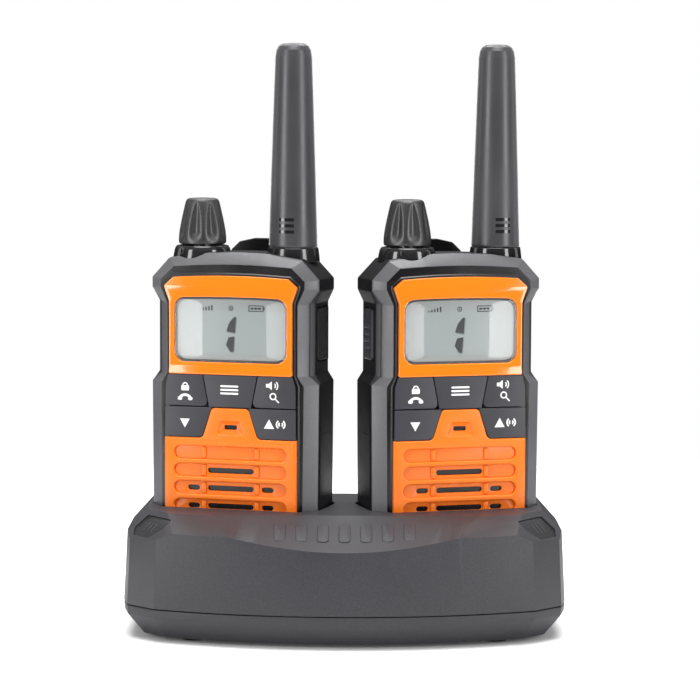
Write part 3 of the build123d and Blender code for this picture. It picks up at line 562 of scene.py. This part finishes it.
    # sloped funnel round the microphone hole
    o_ = roundpoly([(-4.4, 49.8), (4.4, 49.8), (3.1, 54.0), (-3.1, 54.0)], 0.5, 4)
    i_ = roundpoly([(-2.25, 51.25), (2.25, 51.25), (2.15, 52.85), (-2.15, 52.85)], 0.4, 4)
    fr_ = [[(x, y, z) for x, z in lp_] for y, lp_ in ((1.6, o_), (0.75, o_), (1.5, i_), (1.9, i_))]
    nf_ = len(o_)
    fun = me_from([p_ for r_ in fr_ for p_ in r_], [(k_ * nf_ + i_2, k_ * nf_ + (i_2 + 1) % nf_, ((k_ + 1) % 4) * nf_ + (i_2 + 1) % nf_, ((k_ + 1) % 4) * nf_ + i_2) for k_ in range(4) for i_2 in range(nf_)])
    bars.append((fun, 0))
    me = join([(top_pl, 0), (low, 0)] + bars)
    finish_piece(me, P + "grille", "orange", HB, T, [P + "speaker_grille"], 40)

    # ---- keys with their legends
    g = 0.08
    call = [(-22.7, 58.95), (-7.6, 58.95), (-9.5, 68.4), (-9.7, 69.4), (-21.55, 69.4), (-22.6, 66.0)]
    menu = [(-7.3, 58.68), (7.3, 58.68), (9.2, 68.4), (9.4, 69.4), (-9.4, 69.4), (-9.2, 68.4)]
    scan = [(-x, z) for x, z in reversed(call)]
    down = [(-22.8, 48.55), (-9.8, 48.55), (-6.75, 57.6), (-6.2, 58.6), (-22.7, 58.6)]
    up = [(-x, z) for x, z in reversed(down)]
    KR = {"call_key": (call, [0.25, 1.6, 0, 0.25, 0.5, 0]), "menu_key": (menu, [0.05, 0.05, 0, 0.3, 0.3, 0]), "scan_key": (scan, [0, 0.5, 0.25, 0, 1.6, 0.25]),
          "down_key": (down, [0.25, 1.9, 1.5, 0.05, 0.25]), "up_key": (up, [0.25, 0.05, 1.5, 1.9, 0.25])}
    yk = 0.42

    def glyph(*loops):
        return plate(list(loops), yk - 0.05, yk + 0.01, 0.005, 0)

    def arcband(cx, cz, r, w, a0, a1, n=10):
        f = [(cx + (r + w / 2) * cos(radians(a0 + (a1 - a0) * k / n)), cz + (r + w / 2) * sin(radians(a0 + (a1 - a0) * k / n))) for k in range(n + 1)]
        g2 = [(cx + (r - w / 2) * cos(radians(a1 + (a0 - a1) * k / n)), cz + (r - w / 2) * sin(radians(a1 + (a0 - a1) * k / n))) for k in range(n + 1)]
        return f + g2
    lg = {}
    # padlock over a handset receiver
    lg["call_key"] = [glyph(roundpoly([(-16.95, 64.0), (-14.25, 64.0), (-14.25, 65.7), (-16.95, 65.7)], 0.25, 3)), glyph(arcband(-15.6, 65.75, 0.78, 0.42, 0, 180)),
                      glyph(arcband(-15.6, 60.2, 2.35, 0.85, 38, 142, 14)), glyph(stadium(-18.2, -16.6, 61.35, 1.15)), glyph(stadium(-14.6, -13.0, 61.35, 1.15))]
    # three bars
    lg["menu_key"] = [glyph(stadium(-3.3, 3.0, zc, 0.62)) for zc in (63.4, 64.6, 65.8)]
    # loudspeaker over a magnifier
    spk = [(12.6, 65.85), (13.5, 65.85), (14.6, 65.0), (14.6, 67.9), (13.5, 67.05), (12.6, 67.05)]
    lg["scan_key"] = [glyph(spk), glyph(arcband(14.9, 66.45, 0.95, 0.36, -45, 45)), glyph(arcband(14.9, 66.45, 1.75, 0.36, -45, 45)),
                      glyph(arcband(15.0, 62.9, 0.98, 0.42, 0, 180), ), glyph(arcband(15.0, 62.9, 0.98, 0.42, 180, 360)), glyph([(15.6, 62.0), (15.9, 62.3), (17.2, 61.0), (16.9, 60.7)])]
    lg["down_key"] = [glyph([(-17.4, 54.6), (-14.0, 54.6), (-15.7, 51.6)])]
    lg["up_key"] = [glyph([(11.9, 52.2), (15.4, 52.2), (13.65, 55.3)])] + [glyph(arcband(17.7, 53.7, r_, 0.5, a_ - 55, a_ + 55)) for r_ in (0.65, 1.45) for a_ in (0, 180)]
    for k, (pts, rr5) in KR.items():
        cap = plate([roundpoly(pts, rr5, 4)], yk, 1.35, 0.22, 3)
        nx, nz = {"call_key": (-15.9, 64.6), "menu_key": (0.0, 64.6), "scan_key": (15.9, 64.6), "down_key": (-14.8, 54.2), "up_key": (14.8, 54.2)}[k]
        stem = boxm(nx - 3.2, nx + 3.2, 1.2, 3.4, nz - 2.2, nz + 2.2, 0.15)
        me = join([(cap, 0), (stem, 0)] + [(l, 1) for l in lg[k]])
        finish_piece(me, P + k + "_cap", ["key", "white"], P + k, T, [P + k], 40)

    # ---- knob with eight flutes
    KB, KT = 112.1, 127.5
    prof = [(7.35, 0.0), (7.85, 0.35), (7.95, 1.2), (7.9, 2.6), (7.7, 4.4), (7.35, 6.4), (6.95, 8.4), (6.5, 10.4), (6.05, 12.4), (5.75, 13.6), (5.55, 14.3), (5.2, 14.85), (4.7, 15.15), (4.0, 15.3)]
    # resample the profile
    fine = []
    for i in range(len(prof) - 1):
        for k in range(4):
            u = k / 4
            fine.append((prof[i][0] * (1 - u) + prof[i + 1][0] * u, prof[i][1] * (1 - u) + prof[i + 1][1] * u))
    fine.append(prof[-1]); fine += [(2.5, 15.38), (1.0, 15.4)]
    seg_n = 288
    verts = []; faces = []
    for r, h in fine:
        for k in range(seg_n):
            a = 2 * pi * k / seg_n
            ph = ((a + radians(22.5)) % (pi / 4)) - pi / 8
            dep = 0.0
            if 0.9 < h < 14.2:
                u = (h - 0.9) / 13.3
                wv2 = radians(20.5) * (1.0 - u ** 3.0) ** 0.6
                if abs(ph) < wv2:
                    q = 0.5 + 0.5 * cos(pi * ph / wv2)
                    dep = 1.05 * q * (1 - u ** 3) * min(1.0, (h - 0.9) / 3.0)
            rr6 = max(0.2, r - dep)
            verts.append((-14.4 + rr6 * cos(a), 14.6 + rr6 * sin(a), KB + h))
    nr = len(fine)
    for i in range(nr - 1):
        for k in range(seg_n):
            j = (k + 1) % seg_n
            faces.append((i * seg_n + k, i * seg_n + j, (i + 1) * seg_n + j, (i + 1) * seg_n + k))
    tv = len(verts); verts.append((-14.4, 14.6, KT)); bv2 = len(verts)
    faces += [(tv, (nr - 1) * seg_n + k, (nr - 1) * seg_n + (k + 1) % seg_n) for k in range(seg_n)]
    verts.append((-14.4, 14.6, KB)); faces += [(bv2, (k + 1) % seg_n, k) for k in range(seg_n)]
    me = me_from(verts, faces)
    me = evaluate(me, [boolean(lathe([(0, KB - 1), (3.06, KB - 1), (3.06, 121.1), (0, 121.1)], 40, -14.4, 14.6))]); clear_tmp()
    finish_piece(me, P + "knob_grip", "knob", P + "knob", T, [P + "volume_knob"], 38)

    # ---- antenna: moulded whip with three short grip bars near the foot
    ap = [(0, 111.5), (7.8, 111.5), (8.05, 111.72), (8.09, 112.3)]

    def ar(z):
        pts = [(111.5, 8.1), (135.0, 7.42), (160.0, 6.62), (174.5, 6.1), (176.6, 5.75), (177.9, 5.0), (178.7, 3.7), (178.98, 2.0)]
        for (z0, r0), (z1, r1_) in zip(pts, pts[1:]):
            if z <= z1:
                return r0 + (r1_ - r0) * (z - z0) / (z1 - z0)
        return 0
    z = 113.0
    while z < 178.95:
        ap.append((ar(z), z))
        z += 0.15 if z > 173.5 else 1.2
    ap.append((1.0, 178.985)); ap.append((0, 178.99))
    whip = lathe(ap, 96, 17.0, 16.0)
    # three short plain grip bars low on the front, hugging the round surface
    gb = []
    for zc, hw in ((116.8, 19.0), (118.8, 19.0), (120.8, 19.0)):
        rows_ = []
        for zr, dr in ((zc - 0.6, -0.15), (zc - 0.5, 0.06), (zc + 0.5, 0.06), (zc + 0.6, -0.15)):
            rows_.append([(17.0 + (ar(zr) + dr) * sin(radians(t)), 16.0 - (ar(zr) + dr) * cos(radians(t)), zr) for t in [-hw + 2 * hw * k / 16 for k in range(17)]])
        nv = 17
        vs_ = [p_ for r_ in rows_ for p_ in r_]
        fs_ = [(k * nv + i, k * nv + i + 1, (k + 1) * nv + i + 1, (k + 1) * nv + i) for k in range(3) for i in range(nv - 1)]
        fs_.append(tuple(range(nv)) + tuple(3 * nv + i for i in range(nv - 1, -1, -1)))
        fs_ += [(0, nv, 2 * nv, 3 * nv), (nv - 1, 4 * nv - 1, 3 * nv - 1, 2 * nv - 1)]
        gb.append((me_from(vs_, fs_), 1))
    finish_piece(join([(whip, 0)] + gb), P + "whip", ["antenna", "gloss_black"], HB, T, [P + "antenna"], 50)

    # ---- talk button with grip ribs
    base = plate([roundpoly([(10.35, 74.35), (20.05, 74.35), (20.05, 91.25), (10.35, 91.25)], 1.6, 6)], 0.0, 2.6, 0.5, 4)
    ribs = [plate([stadium(12.2, 18.2, 78.6 + 2.3 * k, 1.1)], -0.35, 0.4, 0.3, 3) for k in range(4)]
    me = join([(base, 0)] + [(r, 0) for r in ribs])
    me.transform(Matrix(((0, 1, 0, -27.9), (1, 0, 0, 0), (0, 0, 1, 0), (0, 0, 0, 1))))
    me.flip_normals()
    fl = boxm(-25.4, -24.3, 9.1, 21.3, 73.1, 92.5, 0.15)
    finish_piece(join([(me, 0), (fl, 0)]), P + "talk_pad", "key", P + "talk_button", T, [P + "ptt_button"], 40)

    # ---- jack flap
    base = plate([roundpoly([(11.0, 74.1), (21.5, 74.1), (21.5, 91.5), (11.0, 91.5)], [1.2, 0.2, 0.2, 1.2], 5)], -27.4, -25.85, 0.35, 3)
    lip = plate([roundpoly([(11.3, 80.6), (13.0, 80.6), (13.0, 85.0), (11.3, 85.0)], 0.6, 4)], -27.8, -27.25, 0.2, 3)
    mark = plate([roundpoly([(14.4, 76.4), (19.2, 76.4), (19.2, 89.2), (14.4, 89.2)], 0.8, 4), roundpoly([(14.9, 76.9), (18.7, 76.9), (18.7, 88.7), (14.9, 88.7)], 0.6, 4)], -27.55, -27.25, 0.1, 2)
    me = join([(base, 0), (lip, 0), (mark, 0)])
    me.transform(Matrix(((0, -1, 0, 0), (1, 0, 0, 0), (0, 0, 1, 0), (0, 0, 0, 1))))
    hinge = lathe(soften([(0, 74.1), (1.0, 74.1), (1.0, 91.5), (0, 91.5)], 0.15), 32, 26.6, 21.6)
    finish_piece(join([(me, 0), (hinge, 0)]), P + "flap_pad", "rubber", P + "jack_flap", T, [P + "jack_cover"], 40)

    # ---- belt clip
    cl = [(-9.0, 66.0), (-7.5, 64.0), (7.5, 64.0), (9.0, 66.0), (9.0, 94.0), (6.1, 95.5), (6.1, 103.0), (12.5, 105.0), (12.5, 109.0), (9.4, 111.9), (4.0, 113.1), (-4.0, 113.1),
          (-9.4, 111.9), (-12.5, 109.0), (-12.5, 105.0), (-6.1, 103.0), (-6.1, 95.5), (-9.0, 94.0)]
    body = plate([roundpoly(cl, 0.9, 4)], 38.6, 40.75, 0.5, 4)
    hub = tube_x(-6.1, 6.1, 37.6, 99.0, 3.0)
    grips = [boxm(-7.0, 7.0, 40.55, 41.0 - 0.22, 105.3 + 1.8 * k, 106.2 + 1.8 * k, 0.12) for k in range(4)]
    rib = plate([roundpoly([(-5.5, 68.0), (5.5, 68.0), (5.5, 91.0), (-5.5, 91.0)], 2.0, 6), roundpoly([(-4.7, 68.8), (4.7, 68.8), (4.7, 90.2), (-4.7, 90.2)], 1.4, 6)], 40.5, 40.79, 0.1, 2)
    me = join([(body, 0), (hub, 0), (rib, 0)] + [(q, 0) for q in grips])
    me = evaluate(me, [])
    finish_piece(me, P + "clip_lever", "black", P + "clip", T, [P + "belt_clip"], 40)

    # ---- battery door
    dr = plate([roundpoly([(-20.0, 9.0), (20.0, 9.0), (20.0, 61.0), (-20.0, 61.0)], 1.2, 5)], 31.72, 33.0, 0.25, 3)
    gr = [plate([stadium(-8.0, 8.0, 13.4 + 2.2 * k, 1.1)], 32.85, 33.35, 0.2, 3) for k in range(5)]
    tab = boxm(-6, 6, 30.7, 31.9, 56.8, 59.4, 0.2)
    line = plate([roundpoly([(-17.0, 26.0), (17.0, 26.0), (17.0, 56.0), (-17.0, 56.0)], 2.5, 6), roundpoly([(-16.4, 26.6), (16.4, 26.6), (16.4, 55.4), (-16.4, 55.4)], 2.0, 6)], 32.9, 33.2, 0.1, 2)
    me = join([(dr, 0), (tab, 0), (line, 0)] + [(q, 0) for q in gr])
    finish_piece(me, P + "door_panel", "black", P + "door", T, [P + "battery_door"], 40)

    # ---- parts kept from the frame, with better finishes
    for n, k in (("volume_control", "steel"), ("clip_pin", "steel"), ("battery_pack", "cell"), ("circuit_board", "board"), ("loudspeaker", "gloss_black"), ("charge_contacts", "gold"), ("case_screws", "steel")):
        ob = NODES[P + n]
        ob.data.materials.clear(); ob.data.materials.append(MAT[k])

# ------------------------------------------------------------------ cradle
FR = 155.0


def arc_y(x):
    return -35.38 + FR - sqrt(FR * FR - x * x)


def outline_pts(d, n=48):
    """Cradle outline moved inward by d."""
    fx = 61.8
    pts = [(-fx + 2 * fx * k / n, arc_y(-fx + 2 * fx * k / n)) for k in range(n + 1)]
    pts += [(71.2, -13.0), (72.9, -4.0), (72.9, 24.0), (66.0, 36.0), (58.0, 42.0), (-58.0, 42.0), (-66.0, 36.0), (-72.9, 24.0), (-72.9, -4.0), (-71.2, -13.0)]
    if not d:
        return pts
    out = []
    m_ = len(pts)
    for i in range(m_):
        p0, p, p1 = Vector(pts[i - 1]), Vector(pts[i]), Vector(pts[(i + 1) % m_])
        e0, e1 = (p - p0).normalized(), (p1 - p).normalized()
        n0, n1 = Vector((-e0.y, e0.x)), Vector((-e1.y, e1.x))
        b2 = (n0 + n1)
        b2 = b2 / (1 + n0.dot(n1))
        out.append((p.x + d * b2.x, p.y + d * b2.y))
    return out


def prism_mesh(levels):
    rings = [[(x, y, z) for x, y in outline_pts(d)] for d, z in levels]
    return rings_mesh(rings)


def bisect(me, co, no):
    bm = bmesh.new(); bm.from_mesh(me)
    g = bmesh.ops.bisect_plane(bm, geom=list(bm.verts) + list(bm.edges) + list(bm.faces), plane_co=co, plane_no=no, clear_outer=True, clear_inner=False, dist=1e-5)
    ed = [e for e in g["geom_cut"] if isinstance(e, bmesh.types.BMEdge)]
    bmesh.ops.contextual_create(bm, geom=ed)
    bmesh.ops.recalc_face_normals(bm, faces=bm.faces)
    out = bpy.data.meshes.new("bis"); bm.to_mesh(out); bm.free()
    return out


TOPZ, SEAM = 41.0, 11.4
cov = prism_mesh([(0.0, SEAM), (1.5, TOPZ)])
# curved front facet
n = 40
vs = []; fs = []
for i in range(n + 1):
    x = -60 + 120 * i / n
    t = (x / 60) ** 2
    for y, z in ((-14.0, TOPZ + 0.0 + 0.02 * t), (-44.0, TOPZ - 13.5 + 10.6 * t)):
        vs.append((x, y, z))
    vs.append((x, -44.0, 80)); vs.append((x, -14.0, 80))
for i in range(n):
    for k in range(4):
        a, b2 = i * 4 + k, i * 4 + (k + 1) % 4
        fs.append((a, b2, b2 + 4, a + 4))
fs.append((0, 1, 2, 3)); fs.append(tuple(n * 4 + k for k in (3, 2, 1, 0)))
cut_front = me_from(vs, fs)
for s in (-1, 1):
    cov = bisect(cov, (s * 42.0, -15.0, TOPZ), (s * 0.106, -0.343, 0.933))
    cov = bisect(cov, (s * 57.2, -11.0, TOPZ), (s * 0.480, -0.353, 0.802))
    cov = bisect(cov, (s * 65.5, 0.0, TOPZ), (s * 0.7071, 0.0, 0.7071))
cov = bisect(cov, (0, 42 - 3.4, TOPZ), (0, 0.7071, 0.7071))
cov = evaluate(cov, [boolean(cut_front)]); clear_tmp()
bm = bmesh.new(); bm.from_mesh(cov)
bmesh.ops.remove_doubles(bm, verts=bm.verts, dist=0.01)
bmesh.ops.dissolve_limit(bm, angle_limit=radians(1.0), verts=bm.verts, edges=bm.edges)
bm.to_mesh(cov); bm.free()
cov = evaluate(cov, [bevel(0.42, 4, 8)])
POCKET = [(-24.0, -0.6), (24.0, -0.6), (26.0, 2.6), (29.5, 6.0), (29.5, 24.0), (24.3, 33.7), (-24.3, 33.7), (-29.5, 24.0), (-29.5, 6.0), (-26.0, 2.6)]
cuts = []
for side in ("left", "right"):
    ML = Matrix.Scale(1000, 4) @ M(side)
    ML = Matrix.Translation((0, -SY, 0)) @ ML
    pk = [(x, y) for x, y in roundpoly(POCKET, 1.2, 4)]
    c = rings_mesh([[(x, y, -0.3) for x, y in pk], [(x, y, 40) for x, y in pk]])
    c.transform(ML); cuts.append(c)
    c = boxm(-20.8, 20.8, 30, 70, 7.8, 40); c.transform(ML); cuts.append(c)
    for cx in (-6.0, 6.0):
        c = lathe([(0, -8), (1.25, -8), (1.25, 1), (0, 1)], 24, cx, 14.0); c.transform(ML); cuts.append(c)
c = lathe([(0, 30), (4.35, 30), (4.35, 50), (0, 50)], 40)
c.transform(Matrix(((1, 0, 0, 0), (0, 0, 1, 0), (0, -1, 0, 16.6), (0, 0, 0, 1)))); cuts.append(c)
cuts.append(boxm(-4.7, 4.7, 30.0, 39.1, 11.5, 21.7))
# corner inserts
INS = []
for s in (-1, 1):
    nn = Vector((s * 0.480, -0.353, 0.802)).normalized()
    o = Vector((s * 57.2, -11.0, TOPZ)); c0 = Vector((s * 64.1, -11.4, 36.5)); c0 = c0 + nn * (o - c0).dot(nn)
    xd = Vector((s * 0.59, 0.807, 0.0)).normalized(); xd = (xd - nn * xd.dot(nn)).normalized(); yd = nn.cross(xd)
    if yd.z < 0: yd = -yd
    INS.append((c0, xd, yd, nn, s))
PTS = [(-8.2, 0.6), (-5.4, -4.4), (3.6, -4.6), (7.0, -1.4), (6.6, 5.0), (-7.6, 5.0)]


def plane_prism(c0, xd, yd, nn, pts, h0, h1):
    r0 = [tuple(c0 + xd * x + yd * y + nn * h0) for x, y in pts]
    r1 = [tuple(c0 + xd * x + yd * y + nn * h1) for x, y in pts]
    return rings_mesh([r0, r1])


for c0, xd, yd, nn, s in INS:
    cuts.append(plane_prism(c0, xd, yd, nn, roundpoly(PTS, 0.6, 3), -0.9, 2.0))
cov = evaluate(cov, [boolean(c) for c in cuts]); clear_tmp()
# raised plain bar on the front facet
n0 = Vector((0, -0.4, 0.9165)).normalized()
bar_c = Vector((0, -24.5, TOPZ - 0.45 * 10.5))
xd = Vector((1, 0, 0)); yd = n0.cross(xd); yd = yd if yd.z > 0 else -yd
bars = []
for k in range(7):
    x0 = (k - 3) * 7.0
    yc = -24.0
    lift = 10.6 * (x0 / 60) ** 2 * (yc + 14.0) / -30.0
    cc = Vector((x0, yc, TOPZ - 13.5 * (yc + 14.0) / -30.0 + lift))
    rib_pts = [(u - 0.0 * v, v) for u, v in [(-1.9, -5.2), (1.9, -5.2), (1.9, 5.2), (-1.9, 5.2)]]
    nx = Vector((-2 * 10.6 * x0 / 3600 * 0.33, -0.41, 0.912)).normalized()
    xk = (xd - nx * xd.dot(nx)).normalized(); yk_ = nx.cross(xk)
    if yk_.z < 0: yk_ = -yk_
    bars.append(evaluate(plane_prism(cc, xk, yk_, nx, roundpoly(rib_pts, 1.2, 4), -0.5, 0.35), [bevel(0.2, 3, 40)]))
me = join([(cov, 0)] + [(b_, 0) for b_ in bars])
finish_piece(me, "cradle_top", "cradle", "cradle", M0, ["cradle_cover"], 32)

# tray
tr = prism_mesh([(6.0, 1.2), (0.25, 8.2), (0.0, SEAM - 0.3)])
tr = evaluate(tr, [bevel(0.5, 4, 14)])
cuts = [lathe([(0, 0), (5.0, 0), (5.0, 2.0), (0, 2.0)], 40, x, y) for x, y in ((-49, -12), (49, -12), (-50, 28), (50, 28))]
cuts += [lathe([(0, 0), (2.3, 0), (2.3, 4.0), (0, 4.0)], 32, x, y) for x, y in ((-60, -9), (60, -9), (-30, -23), (30, -23))]
tr = evaluate(tr, [boolean(c) for c in cuts]); clear_tmp()
finish_piece(tr, "cradle_base", "cradle", "cradle", M0, ["cradle_tray"], 32)

# indicator inserts: dark lens with three slanted bars
for c0, xd, yd, nn, s in INS:
    ins = evaluate(plane_prism(c0, xd, yd, nn, roundpoly([(x * 0.975, y * 0.97) for x, y in PTS], 0.5, 3), -0.85, -0.3), [bevel(0.12, 2, 40)])
    b1 = [evaluate(plane_prism(c0, xd, yd, nn, stadium(-3.2 + 2.4 * k - 0.35, -3.2 + 2.4 * k + 0.35 + 0.0, 0, 0.7) if False else [(-3.6 + 2.2 * k, -2.2), (-3.1 + 2.2 * k, -2.2), (-2.3 + 2.2 * k, 2.2), (-2.8 + 2.2 * k, 2.2)], -0.4, -0.12), [bevel(0.08, 2, 40)]) for k in range(3)]
    me = join([(ins, 0)] + [(b_, 1) for b_ in b1])
    finish_piece(me, ("left" if s < 0 else "right") + "_indicator", ["dark_insert", "cradle"], "cradle", M0, ["status_windows"], 35)

# feet and small parts stay as they are
for n_, k in (("cradle_feet", "rubber"), ("cradle_screws", "steel"), ("charger_board", "board"), ("contact_pins", "gold"), ("power_inlet", "gloss_black")):
    ob = NODES[n_]
    ob.data.materials.clear(); ob.data.materials.append(MAT[k])

# ------------------------------------------------------------------ floor, lights, camera
m, nt, b = new_mat("floor_pale")
b.inputs["Base Color"].default_value = (0.86, 0.86, 0.86, 1); b.inputs["Roughness"].default_value = 0.9
b.inputs["Specular IOR Level"].default_value = 0.1
b.inputs["Emission Color"].default_value = (1, 1, 1, 1); b.inputs["Emission Strength"].default_value = 0.04
ftc = nt.nodes.new("ShaderNodeTexCoord"); fln = nt.nodes.new("ShaderNodeVectorMath"); fln.operation = "LENGTH"
fmr = nt.nodes.new("ShaderNodeMapRange"); fmr.interpolation_type = "SMOOTHSTEP"
fmr.inputs["From Min"].default_value = 0.26; fmr.inputs["From Max"].default_value = 0.52
fmr.inputs["To Min"].default_value = 1.0; fmr.inputs["To Max"].default_value = 0.0
nt.links.new(ftc.outputs["Object"], fln.inputs[0]); nt.links.new(fln.outputs["Value"], fmr.inputs["Value"]); nt.links.new(fmr.outputs["Result"], b.inputs["Alpha"])
me = me_from([(-0.6, -0.6, 0), (0.6, -0.6, 0), (0.6, 0.6, 0), (-0.6, 0.6, 0)], [(0, 1, 2, 3)])
floor = bpy.data.objects.new("floor", me); bpy.context.scene.collection.objects.link(floor)
me.materials.append(m)
w = bpy.data.worlds.new("studio"); bpy.context.scene.world = w; w.use_nodes = True
nt = w.node_tree; bg = nt.nodes["Background"]
wc = nt.nodes.new("ShaderNodeTexCoord"); sx_ = nt.nodes.new("ShaderNodeSeparateXYZ"); nt.links.new(wc.outputs["Generated"], sx_.inputs["Vector"])
wr = nt.nodes.new("ShaderNodeMapRange"); wr.interpolation_type = "SMOOTHSTEP"
wr.inputs["From Min"].default_value = 0.05; wr.inputs["From Max"].default_value = 0.75
wr.inputs["To Min"].default_value = 0.03; wr.inputs["To Max"].default_value = 0.46
nt.links.new(sx_.outputs["Z"], wr.inputs["Value"])
lp = nt.nodes.new("ShaderNodeLightPath"); mx = nt.nodes.new("ShaderNodeMix"); mx.data_type = "RGBA"
mx.inputs["B"].default_value = (1, 1, 1, 1)
nt.links.new(wr.outputs["Result"], mx.inputs["A"])
nt.links.new(lp.outputs["Is Camera Ray"], mx.inputs["Factor"]); nt.links.new(mx.outputs["Result"], bg.inputs["Color"])


def area(name, loc, target, sx, sy, power, col=(1, 1, 1)):
    l = bpy.data.lights.new(name, "AREA"); l.shape = "RECTANGLE"; l.size = sx; l.size_y = sy; l.energy = power; l.color = col
    o = bpy.data.objects.new(name, l); bpy.context.scene.collection.objects.link(o)
    o.location = loc
    o.rotation_euler = (Vector(target) - Vector(loc)).to_track_quat("-Z", "Y").to_euler()
    return o


sun = bpy.data.lights.new("top_sun", "SUN"); sun.energy = 3.9; sun.angle = radians(45)
so = bpy.data.objects.new("top_sun", sun); bpy.context.scene.collection.objects.link(so)
so.rotation_euler = (radians(9), 0, 0)
for s in (-1, 1):
    # front strips; their inner edges give the sharp limit of the glare on the two lenses
    hw = 8.0; a = radians(44.0 + hw); d = 1.3
    c = Vector((s * (0.0513 + d * sin(a)), -0.035 - d * cos(a), 0.20))
    area("side_box_%s" % ("l" if s < 0 else "r"), c, (s * 0.0513, -0.035, 0.20), 2 * d * sin(radians(hw)), 1.5, 14.0)
    # strips beside and a little behind, for the edges of the antenna and the knob
    a = radians(108)
    c = Vector((s * d * sin(a), -d * cos(a), 0.42))
    area("edge_box_%s" % ("l" if s < 0 else "r"), c, (0, 0, 0.14), 0.40, 0.9, 1.4)
# high light behind, for the back and the top edges
area("back_box", (0, 0.95, 1.25), (0, 0, 0.08), 1.0, 0.5, 9)

cam = bpy.data.cameras.new("camera"); co = bpy.data.objects.new("camera", cam); bpy.context.scene.collection.objects.link(co)
cam.lens = 144.0; cam.sensor_width = 36.0; cam.clip_start = 0.05; cam.clip_end = 200
co.matrix_world = Matrix.Translation((0.0015, -0.92334, 0.1744)) @ Matrix.Rotation(radians(90 - 4.99), 4, "X") @ Matrix.Rotation(radians(0.24), 4, "Z")
bpy.context.scene.camera = co
bpy.context.scene.view_settings.view_transform = "Standard"
